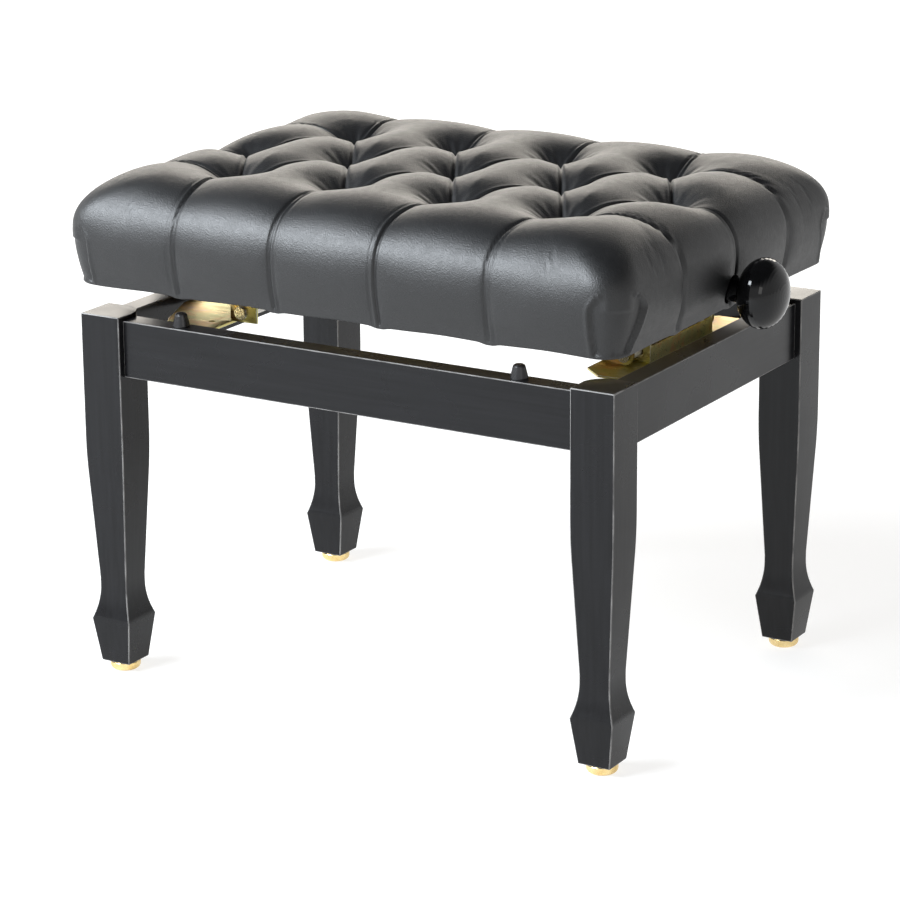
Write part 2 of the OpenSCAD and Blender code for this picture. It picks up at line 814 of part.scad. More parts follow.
// The pocket that a tuft button lies in, with its tie's hole below.
module tuft_pocket() {
    rotate_extrude() polygon([
        [0, foam_top], [2, foam_top], [2, button_z - gap], [button_d / 2 + 1.5, button_z - gap],
        [button_d / 2 + 1.5, button_z + button_t], [pocket_r, seat_top + 1], [0, seat_top + 1]
    ]);
}

module cushion() {
    full_w = seat_half_w + seat_bulge;
    full_d = seat_half_d + seat_bulge;
    color("#2a2b2d") difference() {
        intersection() {
            translate([0, full_d, 0]) rotate([90, 0, 0])
                linear_extrude(2 * full_d) side_profile(seat_half_w);
            translate([-full_w, 0, 0]) rotate([90, 0, 90])
                linear_extrude(2 * full_w) side_profile(seat_half_d);
            translate([0, 0, seat_z]) linear_extrude(seat_h)
                rounded_rect(2 * full_w, 2 * full_d, seat_corner_r);
        }
        box_between([-box_half_w - gap, -box_half_d - gap, seat_z - 1],
                    [box_half_w + gap, box_half_d + gap, foam_top + gap]);
        tufts() tuft_pocket();
        bar_x(knob_hole_r, -full_w - 1, full_w + 1);
    }
}

module foam_base() {
    color("#d8d2b4") difference() {
        box_between([-box_half_w + gap, -box_half_d + gap, board_top + gap],
                    [box_half_w - gap, box_half_d - gap, foam_top]);
        tufts() translate([0, 0, board_top]) cylinder(d = hole_d, h = foam_t + 2);
    }
}

module tuft_buttons() {
    r = button_d / 2;
    color("#2a2b2d") tufts() translate([0, 0, button_z]) rotate_extrude() polygon(concat(
        [[0, 0], [r - 1, 0]],
        [for (a = [0:15:90]) [r * cos(a), 2 + (button_t - 2) * sin(a)]]
    ));
}

// Twine from each button down through the board to a toggle.
module button_ties() {
    color("#cfc9b8") tufts() {
        translate([0, 0, board_z - 1]) cylinder(d = 2.4, h = button_z - gap - board_z + 1);
        translate([0, 0, board_z - 2.3]) cylinder(d = 12, h = 2);
    }
}

leg_front_left();
leg_front_right();
leg_back_left();
leg_back_right();
rail_front();
rail_back();
rail_left();
rail_right();
corner_block_front_left();
corner_block_front_right();
corner_block_back_left();
corner_block_back_right();
corner_block_screws();
leg_bolts();
leg_bolt_nuts();
leg_bolt_washers();
glide_front_left();
glide_front_right();
glide_back_left();
glide_back_right();
stop_front_left();
stop_front_right();
stop_back_left();
stop_back_right();
base_plate_left();
base_plate_right();
base_plate_screws();
base_shaft();
base_shaft_sleeves();
lift_arm_front();
lift_arm_back();
middle_shaft();
middle_shaft_washers();
cross_arm_front();
cross_arm_back();
slide_shaft();
slide_shaft_bushes();
nut_bar();
nut_bar_bushes();
seat_board();
seat_rail_front();
seat_rail_back();
seat_rail_left();
seat_rail_right();
seat_board_screws();
seat_bracket_left();
seat_bracket_right();
seat_bracket_screws();
pivot_bar();
screw_bush_left();
screw_bush_right();
foam_base();
cushion();
tuft_buttons();
button_ties();
lead_screw();
thrust_collars();
knob_left();
knob_right();
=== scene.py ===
"""Looks of the height-adjustable piano bench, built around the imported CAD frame.

Lengths are in metres in the frame's own axes: +X right, +Y back, +Z up.
"""
import json
import math

import bmesh
import bpy
import numpy as np
from mathutils import Matrix, Vector

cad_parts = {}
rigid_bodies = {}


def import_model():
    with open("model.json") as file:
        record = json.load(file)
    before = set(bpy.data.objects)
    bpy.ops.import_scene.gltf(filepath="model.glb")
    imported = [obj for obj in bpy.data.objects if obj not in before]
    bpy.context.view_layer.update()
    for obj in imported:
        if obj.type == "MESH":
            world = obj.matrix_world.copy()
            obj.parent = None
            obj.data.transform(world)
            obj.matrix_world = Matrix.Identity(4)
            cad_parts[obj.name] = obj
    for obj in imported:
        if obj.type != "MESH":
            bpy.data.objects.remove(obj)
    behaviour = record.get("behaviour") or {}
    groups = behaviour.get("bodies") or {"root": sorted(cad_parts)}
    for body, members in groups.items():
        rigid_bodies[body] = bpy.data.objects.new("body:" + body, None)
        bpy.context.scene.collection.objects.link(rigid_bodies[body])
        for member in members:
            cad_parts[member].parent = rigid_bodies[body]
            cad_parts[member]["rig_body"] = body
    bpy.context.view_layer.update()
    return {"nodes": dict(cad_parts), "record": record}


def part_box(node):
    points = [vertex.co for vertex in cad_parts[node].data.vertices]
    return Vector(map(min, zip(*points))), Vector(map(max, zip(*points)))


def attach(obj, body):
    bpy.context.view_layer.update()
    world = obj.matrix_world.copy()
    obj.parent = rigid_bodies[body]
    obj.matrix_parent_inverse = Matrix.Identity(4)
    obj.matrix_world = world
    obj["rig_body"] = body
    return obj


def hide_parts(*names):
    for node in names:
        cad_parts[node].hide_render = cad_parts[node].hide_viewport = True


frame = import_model()
NODES = frame["nodes"]
MM = 0.001

EDGE_FIELD = "rounded_edge"    # the face attribute that eased() writes

# ---------------------------------------------------------------- material helpers


class Shader:
    """A Principled material whose inputs are driven by small node chains."""

    def __init__(self, name):
        self.mat = bpy.data.materials.new(name)
        self.mat.use_nodes = True
        self.nodes = self.mat.node_tree.nodes
        self.links = self.mat.node_tree.links
        self.bsdf = self.nodes["Principled BSDF"]
        self.place = self.add("ShaderNodeTexCoord").outputs["Object"]

    def add(self, kind, **values):
        node = self.nodes.new(kind)
        for key, value in values.items():
            setattr(node, key, value)
        return node

    def set(self, **values):
        for key, value in values.items():
            self.bsdf.inputs[key.replace("_", " ")].default_value = value

    def put(self, value, socket):
        if isinstance(value, bpy.types.NodeSocket):
            self.links.new(value, socket)
        else:
            socket.default_value = value

    def stretched(self, scale):
        node = self.add("ShaderNodeMapping")
        self.put(self.place, node.inputs["Vector"])
        node.inputs["Scale"].default_value = scale
        return node.outputs["Vector"]

    def noise(self, scale, detail=3.0, roughness=0.5, vector=None):
        node = self.add("ShaderNodeTexNoise")
        self.put(vector or self.place, node.inputs["Vector"])
        node.inputs["Scale"].default_value = scale
        node.inputs["Detail"].default_value = detail
        node.inputs["Roughness"].default_value = roughness
        return node.outputs["Fac"]

    def cells(self, scale, feature="F1", vector=None):
        node = self.add("ShaderNodeTexVoronoi", feature=feature)
        self.put(vector or self.place, node.inputs["Vector"])
        node.inputs["Scale"].default_value = scale
        return node.outputs["Distance"]

    def remap(self, value, low, high, to_low, to_high):
        node = self.add("ShaderNodeMapRange")
        for key, number in (("Value", value), ("From Min", low), ("From Max", high),
                            ("To Min", to_low), ("To Max", to_high)):
            self.put(number, node.inputs[key])
        return node.outputs["Result"]

    def maths(self, operation, a, b=0.0):
        node = self.add("ShaderNodeMath", operation=operation)
        self.put(a, node.inputs[0])
        self.put(b, node.inputs[1])
        return node.outputs[0]

    def ramp(self, value, stops):
        node = self.add("ShaderNodeValToRGB")
        self.put(value, node.inputs["Fac"])
        elements = node.color_ramp.elements
        while len(elements) < len(stops):
            elements.new(0.5)
        for element, (position, colour) in zip(elements, stops):
            element.position = position
            element.color = (*colour, 1.0)
        return node.outputs["Color"]

    def blend(self, factor, a, b):
        node = self.add("ShaderNodeMix", data_type="RGBA")
        self.put(factor, node.inputs["Factor"])
        self.put(a if isinstance(a, bpy.types.NodeSocket) else (*a, 1.0), node.inputs["A"])
        self.put(b if isinstance(b, bpy.types.NodeSocket) else (*b, 1.0), node.inputs["B"])
        return node.outputs["Result"]

    def edge_wear(self, low=0.52, high=0.6):
        """1 on worn convex edges, 0 elsewhere, broken up by noise."""
        geometry = self.add("ShaderNodeNewGeometry")
        worn = self.remap(geometry.outputs["Pointiness"], low, high, 0.0, 1.0)
        patchy = self.remap(self.noise(90.0), 0.45, 0.7, 0.0, 1.0)
        return self.maths("MULTIPLY", worn, patchy)

    def rubbed_and_highlit_edge(self):
        """1 on the rounded edges that eased() makes, broken up by noise: the lacquer paints a highlight
        there, the zinc its worn plating.
        """
        edge = self.add("ShaderNodeAttribute")
        edge.attribute_name = EDGE_FIELD
        patchy = self.remap(self.noise(55.0, 4.0), 0.35, 0.65, 0.4, 1.0)
        return self.maths("MULTIPLY", edge.outputs["Fac"], patchy)

    def bump(self, *layers):
        """Each layer is (height, strength, distance); they add up on the normal."""
        normal = None
        for height, strength, distance in layers:
            node = self.add("ShaderNodeBump")
            node.inputs["Strength"].default_value = strength
            node.inputs["Distance"].default_value = distance
            self.put(height, node.inputs["Height"])
            if normal:
                self.put(normal, node.inputs["Normal"])
            normal = node.outputs["Normal"]
        self.put(normal, self.bsdf.inputs["Normal"])


def leather():
    s = Shader("black_leather")
    pores = s.cells(1500.0)
    pebbles = s.cells(850.0, "SMOOTH_F1")
    creases = s.noise(150.0, 5.0, 0.6)
    clouds = s.noise(11.0, 3.0)
    tone = s.ramp(clouds, [(0.3, (0.0035, 0.0036, 0.004)), (0.75, (0.007, 0.0071, 0.0075))])
    worn = s.blend(s.maths("MULTIPLY", s.edge_wear(), 0.25), tone, (0.05, 0.05, 0.052))
    s.put(worn, s.bsdf.inputs["Base Color"])
    s.put(s.remap(creases, 0.3, 0.7, 0.43, 0.5), s.bsdf.inputs["Roughness"])
    s.bump((pebbles, 0.36, 0.0005), (pores, 0.3, 0.0003), (creases, 0.05, 0.0003))
    s.set(IOR=1.5, Specular_IOR_Level=0.5)
    return s.mat


def lacquer(name, grain_axis):
    """Satin black lacquer with the faint open grain of the wood along grain_axis."""
    s = Shader(name)
    scale = [260.0, 260.0, 260.0]
    scale[grain_axis] = 9.0
    grain = s.noise(1.0, 4.0, 0.55, s.stretched(scale))
    orange_peel = s.noise(240.0, 1.0)
    dust = s.noise(14.0, 4.0)
    tone = s.ramp(grain, [(0.35, (0.0032, 0.0032, 0.0038)), (0.7, (0.0062, 0.0062, 0.0072))])
    # The pale colour on the rounded edges is mostly a painted highlight, the thin light line the edges
    # would catch, broken up like rubbed wear.
    s.put(s.blend(s.rubbed_and_highlit_edge(), tone, (0.19, 0.185, 0.18)), s.bsdf.inputs["Base Color"])
    s.put(s.remap(dust, 0.3, 0.7, 0.24, 0.34), s.bsdf.inputs["Roughness"])
    s.bump((grain, 0.1, 0.0003), (orange_peel, 0.06, 0.0002))
    s.set(IOR=1.5, Specular_IOR_Level=0.22)
    return s.mat


def bare_wood():
    s = Shader("beech")
    grain = s.noise(1.0, 5.0, 0.6, s.stretched((12.0, 160.0, 160.0)))
    flecks = s.noise(1.0, 2.0, 0.5, s.stretched((90.0, 900.0, 900.0)))
    tone = s.ramp(grain, [(0.3, (0.12, 0.076, 0.04)), (0.5, (0.17, 0.113, 0.062)),
                          (0.72, (0.23, 0.16, 0.092))])
    flecked = s.blend(s.remap(flecks, 0.62, 0.72, 0.0, 0.5), tone, (0.08, 0.046, 0.022))
    s.put(flecked, s.bsdf.inputs["Base Color"])
    s.put(s.remap(grain, 0.2, 0.8, 0.5, 0.68), s.bsdf.inputs["Roughness"])
    s.bump((grain, 0.25, 0.0004), (flecks, 0.15, 0.0002))
    return s.mat


def yellow_zinc():
    s = Shader("yellow_zinc_steel")
    swirls = s.noise(34.0, 4.0, 0.6)
    drawn = s.noise(1.0, 3.0, 0.5, s.stretched((40.0, 700.0, 700.0)))
    tint = s.ramp(swirls, [(0.3, (0.42, 0.42, 0.15)), (0.5, (0.56, 0.5, 0.19)),
                           (0.62, (0.66, 0.44, 0.16)), (0.75, (0.5, 0.36, 0.28))])
    s.put(s.blend(s.maths("MULTIPLY", s.rubbed_and_highlit_edge(), 0.6), tint, (0.75, 0.74, 0.68)),
          s.bsdf.inputs["Base Color"])
    s.put(s.remap(drawn, 0.3, 0.7, 0.26, 0.42), s.bsdf.inputs["Roughness"])
    s.bump((drawn, 0.12, 0.0002), (s.noise(60.0, 2.0), 0.08, 0.0004))
    s.set(Metallic=1.0)
    return s.mat


def metal(name, dark, light, rough, streak=(500.0, 500.0, 500.0)):
    """Worn bright metal between two tints, with fine streaks."""
    s = Shader(name)
    stains = s.noise(70.0, 4.0, 0.6)
    fine = s.noise(1.0, 3.0, 0.5, s.stretched(streak))
    s.put(s.ramp(stains, [(0.3, dark), (0.7, light)]), s.bsdf.inputs["Base Color"])
    s.put(s.remap(fine, 0.3, 0.7, rough - 0.06, rough + 0.08), s.bsdf.inputs["Roughness"])
    s.bump((fine, 0.1, 0.0001), (stains, 0.06, 0.0003))
    s.set(Metallic=1.0)
    return s.mat


def moulded(name, dark, light, rough, shine=0.5):
    """Moulded rubber or plastic, with faint mottling and handling marks."""
    s = Shader(name)
    mottle = s.noise(130.0, 4.0, 0.6)
    marks = s.noise(24.0, 5.0, 0.7)
    s.put(s.ramp(mottle, [(0.3, dark), (0.7, light)]), s.bsdf.inputs["Base Color"])
    s.put(s.remap(marks, 0.35, 0.75, rough, rough * 1.5 + 0.02), s.bsdf.inputs["Roughness"])
    s.bump((mottle, 0.05, 0.0001))
    s.set(IOR=1.5, Specular_IOR_Level=shine)
    return s.mat


def open_foam():
    s = Shader("foam")
    bubbles = s.cells(900.0)
    s.put(s.ramp(s.noise(30.0), [(0.3, (0.62, 0.53, 0.3)), (0.7, (0.78, 0.7, 0.46))]),
          s.bsdf.inputs["Base Color"])
    s.put(s.remap(bubbles, 0.0, 0.6, 0.85, 0.95), s.bsdf.inputs["Roughness"])
    s.bump((bubbles, 0.6, 0.0006))
    return s.mat


def waxed_twine():
    s = Shader("twine")
    strands = s.noise(1.0, 2.0, 0.5, s.stretched((1400.0, 1400.0, 260.0)))
    s.put(s.ramp(strands, [(0.35, (0.42, 0.37, 0.28)), (0.65, (0.72, 0.67, 0.55))]),
          s.bsdf.inputs["Base Color"])
    s.put(s.remap(strands, 0.3, 0.7, 0.6, 0.8), s.bsdf.inputs["Roughness"])
    s.bump((strands, 0.5, 0.0004))
    return s.mat


LACQUER_ALONG = {axis: lacquer("black_lacquer_" + "xyz"[axis], axis) for axis in range(3)}
MATERIALS = {
    "beech": bare_wood(),
    "plated_fastener": metal("plated_fastener", (0.5, 0.46, 0.3), (0.74, 0.7, 0.52), 0.32),
    "brass": metal("brass", (0.7, 0.5, 0.2), (0.92, 0.74, 0.4), 0.24),
    "black_rubber": moulded("black_rubber", (0.006, 0.006, 0.007), (0.012, 0.012, 0.013), 0.22),
    "yellow_zinc_steel": yellow_zinc(),
    "bright_steel": metal("bright_steel", (0.42, 0.4, 0.36), (0.66, 0.64, 0.6), 0.26,
                          (900.0, 90.0, 900.0)),
    "white_nylon": moulded("white_nylon", (0.62, 0.6, 0.52), (0.76, 0.74, 0.66), 0.4),
    "foam": open_foam(),
    "black_leather": leather(),
    "twine": waxed_twine(),
    "knob_gloss": moulded("knob_gloss", (0.0015, 0.0015, 0.0017), (0.003, 0.003, 0.0034), 0.06, 0.3),
}
SLOTS = {part["node"]: part["material_slot"] for part in frame["record"]["subparts"]}


def finish_of(node):
    """The material for a CAD node: lacquer grain runs along its longest side."""
    if SLOTS[node] != "black_lacquer":
        return MATERIALS[SLOTS[node]]
    low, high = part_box(node)
    size = high - low
    return LACQUER_ALONG[max(range(3), key=lambda axis: size[axis])]


def dress_cad_nodes():
    for name, node in NODES.items():
        node.data.materials.clear()
        node.data.materials.append(finish_of(name))


# ---------------------------------------------------------------- mesh helpers


WELD = 1e-6                       # vertices this close together are one
FLAT_ANGLE = math.radians(0.6)    # faces that meet within this angle are one flat face


def new_piece(name, points, faces, material):
    mesh = bpy.data.meshes.new(name)
    mesh.from_pydata([tuple(p) for p in points], [], [tuple(f) for f in faces])
    mesh.validate()
    piece = bpy.data.objects.new(name, mesh)
    bpy.context.scene.collection.objects.link(piece)
    mesh.materials.append(material)
    mesh.shade_smooth()
    return piece


def bake_modifiers(piece):
    """Swaps the piece's mesh for the one that its modifiers make."""
    graph = bpy.context.evaluated_depsgraph_get()
    mesh = bpy.data.meshes.new_from_object(piece.evaluated_get(graph))
    piece.modifiers.clear()
    piece.data = mesh
    return piece


def co_of(piece):
    co = np.empty(len(piece.data.vertices) * 3)
    piece.data.vertices.foreach_get("co", co)
    return co.reshape(-1, 3)


def set_co(piece, co):
    piece.data.vertices.foreach_set("co", np.ascontiguousarray(co).ravel())
    piece.data.update()


def normals_of(piece):
    out = np.empty(len(piece.data.vertices) * 3)
    piece.data.vertex_normals.foreach_get("vector", out)
    return out.reshape(-1, 3)


def plain_faces(node):
    """A CAD node's mesh as a bmesh, with the triangles of each flat face joined up."""
    bm = bmesh.new()
    bm.from_mesh(NODES[node].data)
    bmesh.ops.remove_doubles(bm, verts=bm.verts, dist=WELD)
    bmesh.ops.dissolve_limit(bm, angle_limit=FLAT_ANGLE, verts=bm.verts, edges=bm.edges)
    return bm


def piece_from(bm, name, material):
    mesh = bpy.data.meshes.new(name)
    bm.to_mesh(mesh)
    bm.free()
    piece = bpy.data.objects.new(name, mesh)
    bpy.context.scene.collection.objects.link(piece)
    mesh.materials.append(material)
    return piece


def mark_rounded_faces(mesh):
    """Turns the second material slot, which only the rounded edges use, into EDGE_FIELD."""
    slots = np.zeros(len(mesh.polygons), dtype=np.int32)
    mesh.polygons.foreach_get("material_index", slots)
    field = mesh.attributes.new(EDGE_FIELD, "FLOAT", "FACE")
    field.data.foreach_set("value", slots.astype(np.float32))
    mesh.polygons.foreach_set("material_index", np.zeros(len(slots), dtype=np.int32))
    mesh.materials.pop(index=1)


def eased(node, radius, segments=2, angle=28.0):
    """A copy of a CAD node with its long sharp edges rounded, which replaces the node."""
    bm = plain_faces(node)
    weight = bm.edges.layers.float.new("bevel_weight_edge")
    for edge in bm.edges:
        if edge.is_convex and edge.calc_length() > 4 * radius:
            edge[weight] = float(edge.calc_face_angle(0.0) > math.radians(angle))
    piece = piece_from(bm, node + "_eased", finish_of(node))
    piece.data.materials.append(finish_of(node))
    piece.data.shade_smooth()
    bevel = piece.modifiers.new("ease", "BEVEL")
    bevel.material = 1
    bevel.width = radius
    bevel.segments = segments
    bevel.limit_method = "WEIGHT"
    bevel.use_clamp_overlap = False
    flatten = piece.modifiers.new("flatten", "WEIGHTED_NORMAL")
    flatten.mode = "FACE_AREA"
    flatten.weight = 100
    bake_modifiers(piece)
    mark_rounded_faces(piece.data)
    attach(piece, NODES[node]["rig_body"])
    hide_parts(node)
    return piece


# ---------------------------------------------------------------- the seat's shape

SEAT_LOW, SEAT_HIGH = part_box("cushion")
BUTTONS_LOW, BUTTONS_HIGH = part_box("tuft_buttons")
BOARD_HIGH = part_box("seat_board")[1]
FOAM_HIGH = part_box("foam_base")[1]

HALF_X, HALF_Y = SEAT_HIGH.x, SEAT_HIGH.y         # at the sides' widest line
SEAT_Z, CREST_Z = SEAT_LOW.z, SEAT_HIGH.z
BUTTON_R = 8.5 * MM
PITCH_X = (BUTTONS_HIGH.x - BUTTON_R) / 2
PITCH_Y = BUTTONS_HIGH.y - BUTTON_R
BUTTONS = ([(i * PITCH_X, 0.0) for i in (-2, -1, 0, 1, 2)]
           + [(i * PITCH_X, side * PITCH_Y) for side in (-1, 1) for i in (-1.5, -0.5, 0.5, 1.5)])

BULGE = 8 * MM            # the sides' swell past their lower edge
WIDEST_H = 52 * MM        # height of the widest line above the lower edge
ROLL_W = 74 * MM          # width of the roll from the side to the crest
CROWN = 3 * MM            # rise from the roll's end to the seat's middle
CAP_X, CAP_Y = HALF_X - ROLL_W, HALF_Y - ROLL_W
CORNER_LOW_R, CORNER_WIDE_R, CORNER_CAP_R = 23 * MM, 30 * MM, 44 * MM
INNER_GAP = 0.4 * MM      # between the padding and the wooden box inside it
KNOB_HOLE_R = 13.5 * MM   # of the holes in the leather for the knobs' necks
FOAM_RIM_R = 5 * MM       # of the foam slab's rounded top edges
FOAM_RIM_LENGTH = 0.3     # shorter edges of the slab's top are the ties' holes

# Where each pleat meets the seat's lower edge, from left to right or front to back
PLEATS_FRONT = [-165 * MM, -61 * MM, 49 * MM, 160 * MM]
PLEATS_BACK = [-167 * MM, -54 * MM, 60 * MM, 168 * MM]
PLEATS_SIDE = [-101 * MM, 2 * MM, 105 * MM]

CELLS_PER_DIAMOND = 20    # grid cells from one button to the next, along X and along Y
EDGE_CELLS_X, EDGE_CELLS_Y = 26, 24
ROLL_RINGS, SIDE_RINGS, INNER_RINGS = 19, 14, 6


def smooth(t):
    t = np.clip(t, 0.0, 1.0)
    return t * t * (3 - 2 * t)


def grid_lines(outer_button, edge, inner_cells, edge_cells):
    """Grid lines from -edge to edge that pass exactly through the buttons."""
    inside = np.linspace(-outer_button, outer_button, inner_cells + 1)
    beyond = np.linspace(outer_button, edge, edge_cells + 1)[1:]
    return np.concatenate([-beyond[::-1], inside, beyond])


def round_corner(x, y, half_x, half_y, radius):
    """Draws a rectangle's square corners in to round ones; the middle stays as it is."""
    u = np.clip((np.abs(x) - (half_x - radius)) / radius, 0, 1)
    v = np.clip((np.abs(y) - (half_y - radius)) / radius, 0, 1)
    move_x = radius * u * (np.sqrt(1 - v * v / 2) - 1)
    move_y = radius * v * (np.sqrt(1 - u * u / 2) - 1)
    return x + np.sign(x) * move_x, y + np.sign(y) * move_y


def rim_columns(xs, ys):
    """The rim of the grid, anticlockwise, as (side, lateral share of that side)."""
    columns = []
    for side, values in enumerate((xs[:-1], ys[:-1], xs[:0:-1], ys[:0:-1])):
        for value in values:
            columns.append((side, value))
    return columns


def ring_point(side, lateral, cap_half, half_x, half_y, radius):
    """A rim column's place on a rounded rectangle: lateral runs along the side."""
    half = half_x if side in (0, 2) else half_y
    other = half_y if side in (0, 2) else half_x
    cap_length = cap_half - CORNER_CAP_R + CORNER_CAP_R * math.pi / 4
    length = half - radius + radius * math.pi / 4
    along = min(abs(lateral), cap_half)
    beyond = along - (cap_half - CORNER_CAP_R)
    cap_path = along if beyond <= 0 else along - beyond + CORNER_CAP_R * math.asin(
        min(1.0, beyond / CORNER_CAP_R * math.sqrt(0.5)))
    share = cap_path / cap_length
    path = cap_path + (length - cap_length) * share ** 3
    if path <= half - radius:
        tangent, out = path, other
    else:
        turn = (path - (half - radius)) / radius
        tangent = half - radius + radius * math.sin(turn)
        out = other - radius + radius * math.cos(turn)
    tangent = math.copysign(tangent, lateral)
    return [(tangent, -out), (out, tangent), (tangent, out), (-out, tangent)][side]


def seat_profile():
    """Rings from the crest out to the lower edge and up inside: (inset, height, radius)."""
    rings = []
    for i in range(1, ROLL_RINGS + 1):
        turn = math.pi / 2 * i / ROLL_RINGS
        inset = ROLL_W * (1 - math.sin(turn) ** 0.92)
        height = CREST_Z - CROWN - (CREST_Z - CROWN - SEAT_Z - WIDEST_H) * (1 - math.cos(turn) ** 0.9)
        share = (inset / ROLL_W) ** 0.7
        rings.append((inset, height, CORNER_WIDE_R + (CORNER_CAP_R - CORNER_WIDE_R) * share))
    for i in range(1, SIDE_RINGS + 1):
        down = i / SIDE_RINGS
        inset = BULGE * (1 - math.cos(math.pi / 2 * down))
        rings.append((inset, SEAT_Z + WIDEST_H * (1 - down),
                      CORNER_WIDE_R + (CORNER_LOW_R - CORNER_WIDE_R) * down))
    inner_inset = HALF_X - BOARD_HIGH.x - INNER_GAP
    lip_r = (inner_inset - BULGE) / 2
    for turn in (math.radians(45), math.radians(90), math.radians(135)):
        inset = BULGE + lip_r * (1 - math.cos(turn))
        height = SEAT_Z - 0.2 * lip_r * math.sin(turn)
        rings.append((inset, height, CORNER_LOW_R - inset + BULGE))
    for i in range(INNER_RINGS + 1):
        height = SEAT_Z + (FOAM_HIGH.z + INNER_GAP - SEAT_Z) * i / INNER_RINGS
        rings.append((inner_inset, height, 2 * MM))
    return rings


def seat_shell():
    """The padding's shell before it is tufted, as points and quads, open against the foam."""
    inner = CELLS_PER_DIAMOND
    xs = grid_lines(1.5 * PITCH_X, CAP_X, 6 * inner, EDGE_CELLS_X)
    ys = grid_lines(PITCH_Y, CAP_Y, 2 * inner, EDGE_CELLS_Y)
    gx, gy = np.meshgrid(xs, ys, indexing="ij")
    px, py = round_corner(gx, gy, CAP_X, CAP_Y, CORNER_CAP_R)
    dome = (1 - (px / CAP_X) ** 2) * (1 - (py / CAP_Y) ** 2)
    cap = np.stack([px, py, CREST_Z - CROWN * (1 - np.clip(dome, 0, 1))], -1)
    columns, rows = len(xs), len(ys)
    points = [cap.reshape(-1, 3)]
    index = np.arange(columns * rows).reshape(columns, rows)
    cells = np.stack([index[:-1, :-1], index[1:, :-1], index[1:, 1:], index[:-1, 1:]], -1)
    faces = [cells.reshape(-1, 4)]
    rim = np.concatenate([index[:-1, 0], index[-1, :-1], index[:0:-1, -1], index[0, :0:-1]])
    sides = rim_columns(xs, ys)
    count = columns * rows
    for inset, height, radius in seat_profile():
        half_x, half_y = HALF_X - inset, HALF_Y - inset
        ring = [ring_point(side, lateral, (CAP_X, CAP_Y)[side % 2], half_x, half_y, radius)
                for side, lateral in sides]
        points.append(np.array([(x, y, height) for x, y in ring]))
        new = np.arange(count, count + len(rim))
        faces.append(np.stack([rim, new, np.roll(new, -1), np.roll(rim, -1)], -1))
        rim, count = new, count + len(rim)
    return np.concatenate(points), np.concatenate(faces)


# ---------------------------------------------------------------- tufts, pleats and folds

TUFT_DEPTH, TUFT_R, TUFT_POWER = 31 * MM, 54 * MM, 1.9
DIAMOND_DEPTH, DIAMOND_W = 8.0 * MM, 46 * MM    # of the valleys between the pillows
PLEAT_W = 50 * MM
PLEAT_TURN = 120 * MM     # path over which a pleat drifts from its button to its foot
PLEAT_PATH = [0, 0.05, 0.11, 0.17, 0.2]
PLEAT_DEPTHS = [5.5 * MM, 4.2 * MM, 2.6 * MM, 1.2 * MM, 0.7 * MM]    # along PLEAT_PATH
DIAMOND_LINE, PLEAT_LINE = 3.4 * MM, 2.9 * MM    # depths of the fine lines in the valleys
DIAMOND_LINE_W, PLEAT_LINE_W = 1.5 * MM, 1.4 * MM
DIAMOND_LIP, PLEAT_LIP = 0.9 * MM, 0.8 * MM      # heights of the leather folded beside them
SECOND_LINE = 0.8 * MM    # depth of the line that runs along each pleat
GATHER_H = 0.55 * MM      # height of the wrinkles around a button
FOLD_LONG = 24 * MM       # half width of a corner's tongue on the bench's long side
FOLD_SHORT_LOW, FOLD_SHORT_HIGH = 20 * MM, 36 * MM    # and on its short side
FOLD_STRAIGHT_H, FOLD_TOP_H = 41 * MM, 57 * MM
FOLD_DEPTH = 3.6 * MM
LUMP_H = 1.6 * MM         # of the lumps below each pleat's foot
PIN_W = 7 * MM            # leather this near a seam is held while the padding swells
SWELL_REACH = 6 * MM      # the furthest that the swelling may move the leather
RIDGE_W = 3 * MM          # quads this near a seam are cut along its diagonal


def segment_distance(points, start, end):
    """Distance in plan to a segment, which side it lies on, and the share along it."""
    a, along = np.array(start), np.array(end) - np.array(start)
    offset = points[:, :2] - a
    share = np.clip(offset @ along / (along @ along), 0, 1)
    gap = offset - share[:, None] * along
    side = np.sign(along[0] * offset[:, 1] - along[1] * offset[:, 0])
    return np.hypot(gap[:, 0], gap[:, 1]), side, share


def diamond_edges():
    edges = []
    for x, y in BUTTONS:
        for u, v in BUTTONS:
            if y == 0.0 and v != 0.0 and abs(abs(x - u) - PITCH_X / 2) < MM:
                edges.append(((x, y), (u, v)))
    return edges


def pleats():
    """(axis of the lateral coordinate, outward sign, button's lateral, foot's, path's start)."""
    out = []
    rows = [(i * PITCH_X, foot) for i, foot in zip((-1.5, -0.5, 0.5, 1.5), PLEATS_FRONT)]
    out += [(0, -1, start, foot, PITCH_Y) for start, foot in rows]
    rows = [(i * PITCH_X, foot) for i, foot in zip((-1.5, -0.5, 0.5, 1.5), PLEATS_BACK)]
    out += [(0, 1, start, foot, PITCH_Y) for start, foot in rows]
    for sign in (-1, 1):
        starts = [(-PITCH_Y, 1.5 * PITCH_X), (0.0, 2 * PITCH_X), (PITCH_Y, 1.5 * PITCH_X)]
        out += [(1, sign, start, foot, begin) for (start, begin), foot in zip(starts, PLEATS_SIDE)]
    return out


def pleat_distance(points, pleat):
    """Distance to a pleat, which side of it a point lies on, and the path from the button."""
    axis, sign, start, foot, begin = pleat
    path = points[:, 1 - axis] * sign - begin + (CREST_Z - points[:, 2])
    line = start + (foot - start) * smooth(path / PLEAT_TURN)
    offset = points[:, axis] - line
    return np.hypot(offset, np.minimum(path, 0.0)), np.sign(offset), path


def pillow(distance, width):
    """1 in the middle of a valley, rising in a curve to 0 at width from it."""
    return np.clip(1 - distance / width, 0, 1) ** 2


